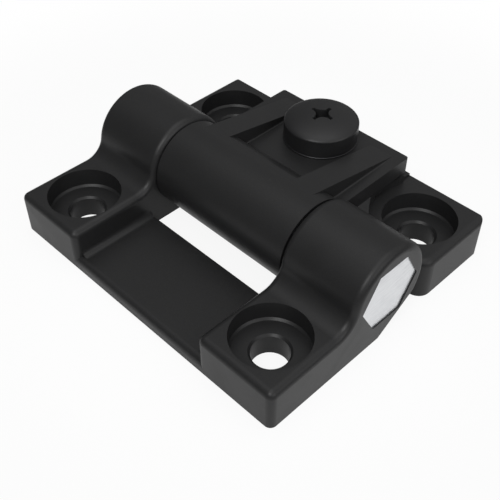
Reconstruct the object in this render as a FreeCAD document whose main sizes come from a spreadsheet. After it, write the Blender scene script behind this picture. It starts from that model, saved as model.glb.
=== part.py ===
import FreeCAD, Part
import Sketcher
import math
import os
import re

# Torque hinge, 51 mm wide, lying open and flat on its mounting faces.
# X runs along the hinge axis, Y from the front leaf to the rear leaf and Z up.
# The origin is at the middle of the outline on the mounting plane.
# Each leaf is drawn as its right half, with the hinge axis over y = 0, and mirrored.

os.makedirs("parts", exist_ok=True)

# Driving dimensions, in millimetres and degrees.
SIZES = {
    # Both leaves
    "overall_width": 51.2,
    "axis_height": 7.8,
    "pad_height": 6.6,
    "edge_round": 1.0,
    # Front leaf: two end blocks with knuckles, and the thin web that joins them
    "front_reach": 21.7,
    "inner_width": 25.3,
    "knuckle_radius": 7.15,
    "blend_radius": 3.0,
    "web_back": 8.1,
    "web_thickness": 2.0,
    "relief_angle": 33.4,
    "relief_wall": 0.33,
    # Mounting holes with their counterbores
    "hole_radius": 2.6,
    "bore_radius": 5.4,
    "bore_floor": 3.5,
    "floor_cove": 0.3,
    "hole_bevel": 0.3,
    "front_hole_side": 6.6,
    "front_hole_back": 15.0,
    "rear_hole_side": 6.6,
    "rear_hole_back": 15.4,
    # Hinge pins: hexagon in the knuckle, round journal in the barrel
    "hex_flats": 9.5,
    "hex_recess": 0.2,
    "shoulder_step": 0.05,
    "journal_radius": 4.74,
    "journal_gap": 0.5,
    "journal_chamfer": 0.4,
    # Rear leaf: split barrel, jaw, tongue with two wedge ribs, and two pads
    "rear_inset": 0.1,
    "rear_reach": 22.05,
    "barrel_radius": 6.6,
    "knuckle_gap": 0.25,
    "barrel_bore": 4.8,
    "foot_reach": 4.0,
    "jaw_top": 7.9,
    "lip_height": 6.93,
    "lip_inset": 0.35,
    "shoulder_inset": 0.45,
    "slit_top": 8.5,
    "tongue_top": 11.05,
    "tongue_reach": 20.4,
    "tongue_round": 0.4,
    "rib_inner": 6.6,
    "rib_outer": 10.6,
    "rib_angle": 10.4,
    "rib_end": 18.9,
    "rib_bridge": 2.6,
    "pad_front": 8.15,
    "front_corner": 2.0,
    "ring_inset": 0.9,
    # Adjusting screw, its disc spring and its nut
    "screw_back": 15.1,
    "screw_hole": 3.2,
    "shank_radius": 2.95,
    "shank_end": 0.5,
    "head_radius": 5.55,
    "head_wall": 2.57,
    "head_dome": 1.42,
    "recess_reach": 1.9,
    "recess_tip": 0.6,
    "recess_waist": 0.67,
    "recess_depth": 2.0,
    "recess_draft": 6.0,
    "spring_thickness": 0.25,
    "spring_radius": 5.62,
    "spring_hole": 3.1,
    "nut_flats": 10.0,
    "nut_height": 5.0,
    "nut_hole": 3.0,
    "nut_pocket_flats": 10.2,
    "nut_pocket_depth": 5.3,
}

# Where the rear leaf and its barrel end, to each side of the middle.
REAR_SIDE = "(overall_width / 2 - rear_inset)"
BARREL_SIDE = "(inner_width / 2 - knuckle_gap)"

# Directions in which an arc runs from one corner of an outline to the next.
LEFT = 1
RIGHT = -1

# How far cutting outlines run past the faces they cut through.
PAST = 0.5

# How closely an edge has to lie on a plane to count as lying on it.
NEAR = 0.01

doc = FreeCAD.newDocument("torque_hinge")
sheet = doc.addObject("Spreadsheet::Sheet", "dims")
for row, (alias, size) in enumerate(SIZES.items(), start=1):
    sheet.set("A%d" % row, alias)
    sheet.set("B%d" % row, str(size))
    sheet.setAlias("B%d" % row, alias)
doc.recompute()


def bound(formula):
    """Turn a formula in the sheet's own words into an expression on the sheet."""
    def cell(word):
        return "dims." + word.group() if word.group() in SIZES else word.group()
    return re.sub("[a-z_]+", cell, formula)


def value(formula):
    """Work out a formula in the sheet's own words."""
    return float(sheet.evalExpression(bound(formula)))


def origin_plane(body, role):
    """Find one of the body's own origin planes."""
    return [plane for plane in body.Origin.OriginFeatures if plane.Role == role][0]


def new_body(label):
    """Start one piece, shifted so that the outline of the hinge is centred."""
    body = doc.addObject("PartDesign::Body", label)
    body.Label = label
    body.setExpression("Placement.Base.y", bound("(front_reach - rear_reach) / 2"))
    return body


def new_sketch(body, name, role, height="0", across="0"):
    """Start a sketch at a height over an origin plane, moved across by a distance."""
    sketch = body.newObject("Sketcher::SketchObject", name)
    sketch.AttachmentSupport = [(origin_plane(body, role), "")]
    sketch.MapMode = "FlatFace"
    sketch.setExpression("AttachmentOffset.Base.x", bound(across))
    sketch.setExpression("AttachmentOffset.Base.z", bound(height))
    return sketch


def bind(sketch, kind, edge, point, name, formula):
    """Fix one coordinate of a point of the sketch to a formula."""
    number = sketch.addConstraint(Sketcher.Constraint(kind, edge, point, value(formula)))
    sketch.renameConstraint(number, name)
    sketch.setExpression("Constraints." + name, bound(formula))


def draw_outline(sketch, corners):
    """Draw a closed outline of straight lines and arcs.

    A corner is its two coordinates. A corner from which an arc starts has four more
    entries: the two coordinates of the centre, the radius and the turning direction.
    A coordinate that starts with a tilde is left for the arc to settle.
    """
    count = len(corners)
    spots = [(value(item[0].strip("~")), value(item[1].strip("~"))) for item in corners]
    firsts = []
    lasts = []
    for index, corner in enumerate(corners):
        start = FreeCAD.Vector(*spots[index], 0)
        end = FreeCAD.Vector(*spots[(index + 1) % count], 0)
        turn = corner[5] if len(corner) > 2 else LEFT
        if len(corner) == 2:
            sketch.addGeometry(Part.LineSegment(start, end))
        else:
            centre = FreeCAD.Vector(value(corner[2]), value(corner[3]), 0)
            if turn == RIGHT:
                start, end = end, start
            begin = math.atan2(start.y - centre.y, start.x - centre.x)
            finish = math.atan2(end.y - centre.y, end.x - centre.x)
            if finish < begin:
                finish += 2 * math.pi
            circle = Part.Circle(centre, FreeCAD.Vector(0, 0, 1), value(corner[4]))
            sketch.addGeometry(Part.ArcOfCircle(circle, begin, finish))
        firsts.append(1 if turn == LEFT else 2)
        lasts.append(2 if turn == LEFT else 1)
    for index in range(count):
        after = (index + 1) % count
        sketch.addConstraint(
            Sketcher.Constraint("Coincident", index, lasts[index], after, firsts[after]))
    for index, corner in enumerate(corners):
        if not corner[0].startswith("~"):
            bind(sketch, "DistanceX", index, firsts[index], "across%d" % index, corner[0])
        if not corner[1].startswith("~"):
            bind(sketch, "DistanceY", index, firsts[index], "up%d" % index, corner[1])
        if len(corner) > 2:
            name = "radius%d" % index
            number = sketch.addConstraint(Sketcher.Constraint("Radius", index, value(corner[4])))
            sketch.renameConstraint(number, name)
            sketch.setExpression("Constraints." + name, bound(corner[4]))
            ends = corner[:2] + corners[(index + 1) % count][:2]
            if any(item.startswith("~") for item in ends):
                bind(sketch, "DistanceX", index, 3, "centre_across%d" % index, corner[2])
                bind(sketch, "DistanceY", index, 3, "centre_up%d" % index, corner[3])


def draw_circle(sketch, across, up, radius):
    """Draw a circle about a point."""
    centre = FreeCAD.Vector(value(across), value(up), 0)
    sketch.addGeometry(Part.Circle(centre, FreeCAD.Vector(0, 0, 1), value(radius)))
    bind(sketch, "DistanceX", 0, 3, "centre_across", across)
    bind(sketch, "DistanceY", 0, 3, "centre_up", up)
    number = sketch.addConstraint(Sketcher.Constraint("Radius", 0, value(radius)))
    sketch.renameConstraint(number, "radius")
    sketch.setExpression("Constraints.radius", bound(radius))


def draw_hexagon(sketch, across, up, flats):
    """Draw a hexagon about a point, with two of its corners level with that point."""
    corners = []
    for step in range(6):
        side = "(%s) / 2 / cos(30) * cos(%d)" % (flats, 60 * step)
        rise = "(%s) / 2 / cos(30) * sin(%d)" % (flats, 60 * step)
        corners.append(("%s + %s" % (across, side), "%s + %s" % (up, rise)))
    draw_outline(sketch, corners)


def pad(body, name, sketch, length):
    """Raise an outline into a solid along its normal."""
    feature = body.newObject("PartDesign::Pad", name)
    feature.Profile = sketch
    feature.setExpression("Length", bound(length))
    return feature


def pocket(body, name, sketch, depth, forward):
    """Cut an outline out, along its normal when forward is true, else against it."""
    feature = body.newObject("PartDesign::Pocket", name)
    feature.Profile = sketch
    feature.Reversed = forward
    feature.setExpression("Length", bound(depth))
    return feature


def turned(body, kind, name, sketch):
    """Turn an outline about the sketch's own upright axis."""
    feature = body.newObject(kind, name)
    feature.Profile = sketch
    feature.ReferenceAxis = (sketch, ["V_Axis"])
    feature.Angle = 360
    return feature


def mirror(body, name):
    """Complete a right half with its reflection across the middle plane."""
    feature = body.newObject("PartDesign::Mirrored", name)
    feature.TransformMode = "Whole shape"
    feature.MirrorPlane = (origin_plane(body, "YZ_Plane"), [""])
    body.Tip = feature
    return feature


def flat_at(edge, axis, place):
    """Tell whether an edge lies in the plane where one coordinate has the given value."""
    low = getattr(edge.BoundBox, axis + "Min")
    high = getattr(edge.BoundBox, axis + "Max")
    return abs(low - place) < NEAR and abs(high - place) < NEAR


def dress_edges(body, kind, name, size_property, size, wanted):
    """Round or chamfer the edges of the piece so far that a test picks out."""
    doc.recompute()
    base = body.Tip
    picked = []
    for number, edge in enumerate(base.Shape.Edges, start=1):
        if wanted(edge):
            picked.append("Edge%d" % number)
    feature = body.newObject(kind, name)
    feature.Base = (base, picked)
    feature.setExpression(size_property, bound(size))
    return feature


def round_edges(body, name, radius, wanted):
    """Round the edges that a test picks out."""
    return dress_edges(body, "PartDesign::Fillet", name, "Radius", radius, wanted)


def chamfer_edges(body, name, size, wanted):
    """Chamfer the edges that a test picks out."""
    return dress_edges(body, "PartDesign::Chamfer", name, "Size", size, wanted)


def counterbore(body, name, across, back):
    """Cut a mounting hole and its counterbore, coved at the floor, bevelled at the hole."""
    sketch = new_sketch(body, name + "_sketch", "XZ_Plane", "-(%s)" % back, across)
    top = "pad_height + %s" % PAST
    draw_outline(sketch, [
        ("0", "-%s" % PAST),
        ("hole_radius", "-%s" % PAST),
        ("hole_radius", "bore_floor - hole_bevel"),
        ("hole_radius + hole_bevel", "bore_floor"),
        ("bore_radius - floor_cove", "bore_floor"),
        ("bore_radius", "bore_floor + floor_cove"),
        ("bore_radius", top),
        ("0", top),
    ])
    turned(body, "PartDesign::Groove", name, sketch)


def front_leaf():
    """Make the leaf with the two hexagon sockets and the thin web between them."""
    body = new_body("front_leaf")
    inner = value("inner_width / 2")
    outer = value("overall_width / 2")
    front = value("-front_reach")
    top = value("pad_height")

    # The end block ends in the knuckle. A flat relief under the knuckle passes the
    # corner of the hexagon by relief_wall and lets the leaves fold back.
    relief = "(hex_flats / 2 / cos(30) + relief_wall)"
    relief_start = "(%s - axis_height * cos(relief_angle)) / sin(relief_angle)" % relief
    half_chord = "sqrt(knuckle_radius^2 - %s^2)" % relief
    relief_end = "%s * sin(relief_angle) + %s * cos(relief_angle)" % (relief, half_chord)
    relief_rise = "axis_height - %s * cos(relief_angle) + %s * sin(relief_angle)" % (
        relief, half_chord)
    block = new_sketch(body, "block_sketch", "YZ_Plane", "inner_width / 2")
    draw_outline(block, [
        ("-front_reach", "0"),
        (relief_start, "0"),
        (relief_end, "~" + relief_rise, "0", "axis_height", "knuckle_radius", LEFT),
        ("~-sqrt(knuckle_radius^2 - (axis_height - pad_height)^2)", "pad_height"),
        ("-front_reach", "pad_height"),
    ])
    pad(body, "block", block, "(overall_width - inner_width) / 2")
    foot = value("-sqrt(knuckle_radius^2 - (axis_height - pad_height)^2)")
    round_edges(body, "knuckle_blend", "blend_radius", lambda edge: (
        flat_at(edge, "Y", foot) and flat_at(edge, "Z", top)))

    def soft_edge(edge):
        on_side = flat_at(edge, "X", inner) or flat_at(edge, "X", outer)
        at_front = flat_at(edge, "Y", front) and flat_at(edge, "Z", top)
        return at_front or (on_side and edge.BoundBox.ZMax > top - NEAR)

    round_edges(body, "block_rounds", "edge_round", soft_edge)

    # The web runs into the block, past the round of its upright inner corner.
    web = new_sketch(body, "web_sketch", "YZ_Plane")
    draw_outline(web, [
        ("-front_reach", "0"),
        ("-web_back", "0"),
        ("-web_back", "web_thickness"),
        ("edge_round - front_reach", "web_thickness",
         "edge_round - front_reach", "web_thickness - edge_round", "edge_round", LEFT),
        ("-front_reach", "web_thickness - edge_round"),
    ])
    pad(body, "web", web, "inner_width / 2 + 2 * edge_round")

    # A cove fills the foot of the wall along the web.
    cove = new_sketch(body, "cove_sketch", "XZ_Plane", "web_back")
    draw_outline(cove, [
        ("inner_width / 2 - edge_round", "web_thickness - %s" % PAST),
        ("inner_width / 2 + %s" % PAST, "web_thickness - %s" % PAST),
        ("inner_width / 2 + %s" % PAST, "web_thickness + edge_round"),
        ("inner_width / 2", "web_thickness + edge_round",
         "inner_width / 2 - edge_round", "web_thickness + edge_round", "edge_round", RIGHT),
        ("inner_width / 2 - edge_round", "web_thickness"),
    ])
    pad(body, "cove", cove, "front_reach - edge_round - web_back")

    counterbore(body, "mounting_hole", "overall_width / 2 - front_hole_side", "-front_hole_back")
    socket = new_sketch(body, "socket_sketch", "YZ_Plane", "inner_width / 2 - %s" % PAST)
    draw_hexagon(socket, "0", "axis_height", "hex_flats")
    pocket(body, "socket", socket, "overall_width / 2", True)
    mirror(body, "both_halves")
    return body


def rear_leaf():
    """Make the leaf whose split barrel grips the journals of the two pins."""
    body = new_body("rear_leaf")
    side = value(REAR_SIDE)
    top = value("pad_height")

    # Corner pad with its rounds, started inside the middle of the leaf.
    corner_pad = new_sketch(body, "corner_pad_sketch", "YZ_Plane", "%s / 2" % BARREL_SIDE)
    draw_outline(corner_pad, [
        ("pad_front", "0"),
        ("rear_reach", "0"),
        ("rear_reach", "pad_height"),
        ("pad_front", "pad_height"),
    ])
    pad(body, "corner_pad", corner_pad, "%s - %s / 2" % (REAR_SIDE, BARREL_SIDE))
    round_edges(body, "front_corner_round", "front_corner", lambda edge: (
        flat_at(edge, "X", side) and flat_at(edge, "Y", value("pad_front"))))

    def soft_edge(edge):
        upright = flat_at(edge, "X", side) and flat_at(edge, "Y", value("rear_reach"))
        along_side = flat_at(edge, "X", side) and flat_at(edge, "Z", top)
        return upright or along_side

    round_edges(body, "pad_rounds", "edge_round", soft_edge)

    # The low lip that joins the two pads behind the clamp.
    lip = new_sketch(body, "lip_sketch", "YZ_Plane")
    draw_outline(lip, [
        ("pad_front", "0"),
        ("rear_reach", "0"),
        ("rear_reach", "lip_height"),
        ("pad_front", "lip_height"),
    ])
    pad(body, "lip", lip, "%s - lip_inset" % BARREL_SIDE)

    # The clamp is one C-shaped section: jaw below, tongue above and the barrel
    # that joins them round the front, with the slit open to the back.
    clamp = new_sketch(body, "clamp_sketch", "YZ_Plane")
    draw_outline(clamp, [
        ("0", "~axis_height - barrel_radius"),
        ("foot_reach", "0"),
        ("tongue_reach", "0"),
        ("tongue_reach", "jaw_top"),
        ("~sqrt(barrel_bore^2 - (jaw_top - axis_height)^2)", "jaw_top",
         "0", "axis_height", "barrel_bore", RIGHT),
        ("~sqrt(barrel_bore^2 - (slit_top - axis_height)^2)", "slit_top"),
        ("tongue_reach", "slit_top"),
        ("tongue_reach", "tongue_top"),
        ("~sqrt(barrel_radius^2 - (tongue_top - axis_height)^2)", "tongue_top",
         "0", "axis_height", "barrel_radius", LEFT),
    ])
    pad(body, "clamp", clamp, BARREL_SIDE)

    # A sloping shoulder leads from the jaw down to the pad, and shoulder and jaw step back
    # round the place of the mounting screw's head.
    slope_start = "%s - shoulder_inset" % BARREL_SIDE
    shoulder = new_sketch(body, "shoulder_sketch", "XZ_Plane", "-rear_hole_back")
    draw_outline(shoulder, [
        (slope_start, "pad_height / 2"),
        ("%s + jaw_top - pad_height / 2" % slope_start, "pad_height / 2"),
        (slope_start, "jaw_top"),
    ])
    pad(body, "shoulder", shoulder, "rear_hole_back - pad_front")
    ring = new_sketch(body, "ring_sketch", "XY_Plane", "pad_height")
    hole_across = "%s - rear_hole_side" % REAR_SIDE
    ring_radius = "%s - %s + ring_inset" % (hole_across, BARREL_SIDE)
    draw_circle(ring, hole_across, "rear_hole_back", ring_radius)
    pocket(body, "head_clearance", ring, "(jaw_top + slit_top) / 2 - pad_height", True)

    # Two wedge ribs run tangent from the barrel down to the tongue, and between
    # them a pocket leaves room for the screw head.
    start_across = "barrel_radius * sin(rib_angle)"
    start_up = "axis_height + barrel_radius * cos(rib_angle)"
    barrel_foot = "sqrt(barrel_radius^2 - (tongue_top - axis_height)^2)"
    inside_tongue = "(slit_top + tongue_top) / 2"
    wedge = new_sketch(body, "wedge_sketch", "YZ_Plane")
    draw_outline(wedge, [
        (barrel_foot, inside_tongue),
        ("rib_end", inside_tongue),
        ("rib_end", "tongue_top"),
        (start_across, start_up),
    ])
    pad(body, "wedge", wedge, "rib_outer")
    bridge_up = "%s - (rib_bridge - %s) * tan(rib_angle)" % (start_up, start_across)
    between = new_sketch(body, "between_sketch", "YZ_Plane")
    draw_outline(between, [
        (barrel_foot, "tongue_top"),
        ("rear_reach", "tongue_top"),
        ("rear_reach", bridge_up),
        ("rib_bridge", bridge_up),
    ])
    pocket(body, "between_ribs", between, "rib_inner", True)

    counterbore(body, "mounting_hole", hole_across, "rear_hole_back")
    round_edges(body, "tongue_corner", "tongue_round", lambda edge: (
        flat_at(edge, "X", value(BARREL_SIDE))
        and flat_at(edge, "Y", value("tongue_reach"))))
    mirror(body, "both_halves")

    # The adjusting screw passes the tongue and the jaw to a nut let into the underside.
    shaft = new_sketch(body, "screw_hole_sketch", "XY_Plane")
    draw_circle(shaft, "0", "screw_back", "screw_hole")
    pocket(body, "screw_passage", shaft, "tongue_top + %s" % PAST, True)
    seat = new_sketch(body, "nut_pocket_sketch", "XY_Plane")
    draw_hexagon(seat, "0", "screw_back", "nut_pocket_flats")
    pocket(body, "nut_pocket", seat, "nut_pocket_depth", True)
    return body


def hinge_pin(label, turn):
    """Make a pin pressed into one knuckle, turned about Z by the given angle."""
    body = new_body(label)
    body.Placement.Rotation = FreeCAD.Rotation(FreeCAD.Vector(0, 0, 1), turn)
    hexagon = new_sketch(body, "hexagon_sketch", "YZ_Plane", "inner_width / 2 + shoulder_step")
    draw_hexagon(hexagon, "0", "axis_height", "hex_flats")
    pad(body, "hexagon", hexagon,
        "(overall_width - inner_width) / 2 - shoulder_step - hex_recess")
    journal = new_sketch(body, "journal_sketch", "YZ_Plane", "journal_gap / 2")
    draw_circle(journal, "0", "axis_height", "journal_radius")
    pad(body, "journal", journal, "(inner_width - journal_gap) / 2 + shoulder_step")
    chamfer_edges(body, "lead_in", "journal_chamfer", lambda edge: (
        flat_at(edge, "X", value("journal_gap / 2"))))
    return body


def adjusting_screw():
    """Make the domed screw with its cross recess, tightened down on the spring."""
    body = new_body("adjusting_screw")
    seat = "tongue_top + spring_thickness"
    shoulder = "%s + head_wall" % seat
    dome_radius = "(head_radius^2 + head_dome^2) / 2 / head_dome"
    crown = "%s + head_dome" % shoulder
    half = new_sketch(body, "screw_sketch", "XZ_Plane", "-screw_back")
    draw_outline(half, [
        ("0", "shank_end"),
        ("shank_radius - shank_end", "shank_end"),
        ("shank_radius", "2 * shank_end"),
        ("shank_radius", seat),
        ("head_radius", seat),
        ("head_radius", shoulder,
         "0", "%s - %s" % (crown, dome_radius), dome_radius, LEFT),
        ("0", crown),
    ])
    turned(body, "PartDesign::Revolution", "screw", half)

    # Four equal arms with hollow flanks, sunk from the crown and drawn in towards the bottom.
    # Each flank is an arc about a point on the diagonal, through the waist between two arms.
    reach = "recess_reach"
    tip = "recess_tip / 2"
    middle = ("(recess_reach^2 + recess_tip^2 / 4 - 2 * recess_waist^2)"
              " / (2 * recess_reach + recess_tip - 4 * recess_waist)")
    hollow = "(2 * (%s - recess_waist)^2)^0.5" % middle
    cross = new_sketch(body, "recess_sketch", "XY_Plane", crown)
    corners = []
    for quarter in range(4):
        cosine = round(math.cos(math.pi / 2 * quarter))
        sine = round(math.sin(math.pi / 2 * quarter))
        spots = []
        for across, up in [(reach, "-" + tip), (reach, tip), (middle, middle)]:
            spots.append((
                "%d * (%s) - %d * (%s)" % (cosine, across, sine, up),
                "screw_back + %d * (%s) + %d * (%s)" % (sine, across, cosine, up)))
        start, end, centre = spots
        corners.append(start)
        corners.append(end + centre + (hollow, RIGHT))
    draw_outline(cross, corners)
    recess = pocket(body, "recess", cross, "recess_depth", False)
    recess.setExpression("TaperAngle", bound("-recess_draft"))
    return body


def spring_washer():
    """Make the disc spring, pressed flat under the screw head."""
    body = new_body("spring_washer")
    disc = new_sketch(body, "disc_sketch", "XY_Plane", "tongue_top")
    draw_circle(disc, "0", "screw_back", "spring_radius")
    pad(body, "disc", disc, "spring_thickness")
    hole = new_sketch(body, "hole_sketch", "XY_Plane", "tongue_top")
    draw_circle(hole, "0", "screw_back", "spring_hole")
    pocket(body, "hole", hole, "spring_thickness", True)
    return body


def clamp_nut():
    """Make the nut that the adjusting screw draws against the roof of its pocket."""
    body = new_body("clamp_nut")
    underside = "nut_pocket_depth - nut_height"
    block = new_sketch(body, "nut_sketch", "XY_Plane", underside)
    draw_hexagon(block, "0", "screw_back", "nut_flats")
    pad(body, "nut", block, "nut_height")
    thread = new_sketch(body, "thread_sketch", "XY_Plane", underside)
    draw_circle(thread, "0", "screw_back", "nut_hole")
    pocket(body, "thread", thread, "nut_height", True)
    return body


pieces = [
    front_leaf(),
    rear_leaf(),
    hinge_pin("pin_right", 0),
    hinge_pin("pin_left", 180),
    adjusting_screw(),
    spring_washer(),
    clamp_nut(),
]
doc.recompute()

# A failed feature, or a cut that removes nothing, stops the build.
for item in doc.Objects:
    if "Invalid" in item.State or "Error" in item.State:
        raise RuntimeError("%s of %s failed" % (item.Label, doc.Name))
    if item.TypeId in ("PartDesign::Pocket", "PartDesign::Groove"):
        if item.Shape.Volume > item.BaseFeature.Shape.Volume - NEAR:
            raise RuntimeError("%s cuts nothing" % item.Label)
for body in pieces:
    if body.Shape.isNull() or not body.Shape.isValid() or len(body.Shape.Solids) != 1:
        raise RuntimeError("%s is not one sound solid" % body.Label)
for body in pieces:
    body.Shape.exportStep("parts/%s.step" % body.Label)
    print("%s: %.1f cubic millimetres" % (body.Label, body.Shape.Volume))
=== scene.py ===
"""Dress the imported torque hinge: its finishes and fine forms, the studio and the camera."""
import logging
import math
from dataclasses import dataclass, field
from enum import Enum
from typing import ClassVar

import bpy
import numpy as np
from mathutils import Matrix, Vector


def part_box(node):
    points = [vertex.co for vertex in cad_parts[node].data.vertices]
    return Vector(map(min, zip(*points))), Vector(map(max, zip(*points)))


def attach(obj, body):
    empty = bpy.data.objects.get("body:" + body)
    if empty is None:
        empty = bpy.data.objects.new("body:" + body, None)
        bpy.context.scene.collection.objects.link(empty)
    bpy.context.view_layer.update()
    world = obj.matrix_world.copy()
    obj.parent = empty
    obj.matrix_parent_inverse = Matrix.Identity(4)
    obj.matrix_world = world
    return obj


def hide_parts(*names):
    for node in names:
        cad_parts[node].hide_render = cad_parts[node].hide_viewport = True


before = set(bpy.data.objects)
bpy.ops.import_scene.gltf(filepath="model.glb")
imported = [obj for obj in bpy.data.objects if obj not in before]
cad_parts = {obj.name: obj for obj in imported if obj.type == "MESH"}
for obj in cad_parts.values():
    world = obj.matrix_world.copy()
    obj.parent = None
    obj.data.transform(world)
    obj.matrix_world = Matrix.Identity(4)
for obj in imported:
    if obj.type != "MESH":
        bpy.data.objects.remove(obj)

LOG = logging.getLogger("torque_hinge")
MM = 0.001
SHARP_ANGLE = math.radians(32.0)
THREAD_FLAT = 0.12
THREAD_FLANK = 0.70
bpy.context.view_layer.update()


class Body(Enum):
    """The rigid bodies that new pieces ride on."""

    REAR = "rear"
    SPRING = "spring"
    SCREW = "screw"


class Kind(Enum):
    """The shader nodes that the finishes use."""

    COORDINATES = "ShaderNodeTexCoord"
    GEOMETRY = "ShaderNodeNewGeometry"
    MAPPING = "ShaderNodeMapping"
    NOISE = "ShaderNodeTexNoise"
    CELLS = "ShaderNodeTexVoronoi"
    RANGE = "ShaderNodeMapRange"
    MIX = "ShaderNodeMix"
    MATH = "ShaderNodeMath"
    BUMP = "ShaderNodeBump"
    SPLIT = "ShaderNodeSeparateXYZ"
    VECTOR = "ShaderNodeVectorMath"
    PRINCIPLED = "ShaderNodeBsdfPrincipled"
    DIFFUSE = "ShaderNodeBsdfDiffuse"
    EMISSION = "ShaderNodeEmission"
    BACKGROUND = "ShaderNodeBackground"
    BLEND = "ShaderNodeMixShader"
    LIGHT_PATH = "ShaderNodeLightPath"
    GROUP = "ShaderNodeGroup"
    SURFACE = "ShaderNodeOutputMaterial"
    SKY = "ShaderNodeOutputWorld"


class NodeBench:
    """A node tree with a short way to add and wire nodes."""

    def __init__(self, tree: bpy.types.NodeTree) -> None:
        """Start on an emptied tree.

        Args:
            tree: the node tree that the nodes go into.
        """
        self.tree = tree
        self.tree.nodes.clear()

    def add(self, kind: Kind, inputs: dict | None = None, **settings: object) -> bpy.types.Node:
        """Add a node, set its options and fill its inputs.

        Args:
            kind: the node's type.
            inputs: values or sockets by input name or number.
            settings: options of the node itself, by attribute name.

        Returns:
            The new node.
        """
        node = self.tree.nodes.new(kind.value)
        for name, setting in settings.items():
            setattr(node, name, setting)
        for name, content in (inputs or {}).items():
            self.feed(node.inputs[name], content)
        return node

    def feed(self, socket: bpy.types.NodeSocket, content: object) -> None:
        """Link an input to another socket, or give it a plain value.

        Args:
            socket: the input.
            content: the socket to link or the value to give.
        """
        if isinstance(content, bpy.types.NodeSocket):
            self.tree.links.new(content, socket)
        else:
            socket.default_value = content

    def ramp(self, value: bpy.types.NodeSocket, low: float, high: float,
             to_low: float, to_high: float) -> bpy.types.NodeSocket:
        """Map a value smoothly from one range to another.

        Args:
            value: the socket that gives the value.
            low: the value that maps to to_low.
            high: the value that maps to to_high.
            to_low: the result at and below low.
            to_high: the result at and above high.

        Returns:
            The socket with the mapped value.
        """
        node = self.add(Kind.RANGE, {"Value": value, "From Min": low, "From Max": high,
                                     "To Min": to_low, "To Max": to_high},
                        interpolation_type="SMOOTHSTEP")
        return node.outputs["Result"]

    def math(self, operation: str, first: object, second: object) -> bpy.types.NodeSocket:
        """Combine two values by a named operation."""
        return self.add(Kind.MATH, {0: first, 1: second}, operation=operation).outputs[0]

    def tint(self, factor: object, first: object, second: object) -> bpy.types.NodeSocket:
        """Mix two colours by a factor.

        Args:
            factor: the share of the second colour.
            first: the first colour.
            second: the second colour.

        Returns:
            The socket with the mixed colour.
        """
        node = self.add(Kind.MIX, data_type="RGBA")
        self.feed(node.inputs[0], factor)
        self.feed(node.inputs[6], first)
        self.feed(node.inputs[7], second)
        return node.outputs[2]

    def effect(self, tree: bpy.types.NodeTree, place: bpy.types.NodeSocket,
               **amounts: float) -> bpy.types.Node:
        """Add a shared effect at a place.

        Args:
            tree: the effect's node group.
            place: the socket with the coordinates.
            amounts: values for the group's other inputs, by name.

        Returns:
            The group's node.
        """
        node = self.add(Kind.GROUP, node_tree=tree)
        self.feed(node.inputs["Vector"], place)
        for name, amount in amounts.items():
            node.inputs[name].default_value = amount
        return node

    def close(self, height: bpy.types.NodeSocket, depth: float, inputs: dict) -> None:
        """End a material in a Principled surface with a bump.

        Args:
            height: the socket with the bump's height.
            depth: the bump's depth in metres.
            inputs: the surface's other inputs, by name.
        """
        bump = self.add(Kind.BUMP, {"Height": height, "Strength": 1.0, "Distance": depth})
        shader = self.add(Kind.PRINCIPLED, {**inputs, "Normal": bump.outputs["Normal"]})
        self.add(Kind.SURFACE, {"Surface": shader.outputs[0]})


def new_group(name: str, inputs: dict[str, float | None],
              outputs: list[str]) -> tuple[NodeBench, bpy.types.Node, bpy.types.Node]:
    """Start a shader node group.

    Args:
        name: the group's name.
        inputs: a default for each number input, or None for a vector input.
        outputs: the names of the number outputs.

    Returns:
        The bench of the group, its input node and its output node.
    """
    tree = bpy.data.node_groups.new(name, "ShaderNodeTree")
    for title, start in inputs.items():
        sort = "NodeSocketVector" if start is None else "NodeSocketFloat"
        socket = tree.interface.new_socket(title, in_out="INPUT", socket_type=sort)
        if start is not None:
            socket.default_value = start
    for title in outputs:
        tree.interface.new_socket(title, in_out="OUTPUT", socket_type="NodeSocketFloat")
    bench = NodeBench(tree)
    entry = tree.nodes.new("NodeGroupInput")
    leave = tree.nodes.new("NodeGroupOutput")
    return bench, entry, leave


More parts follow.
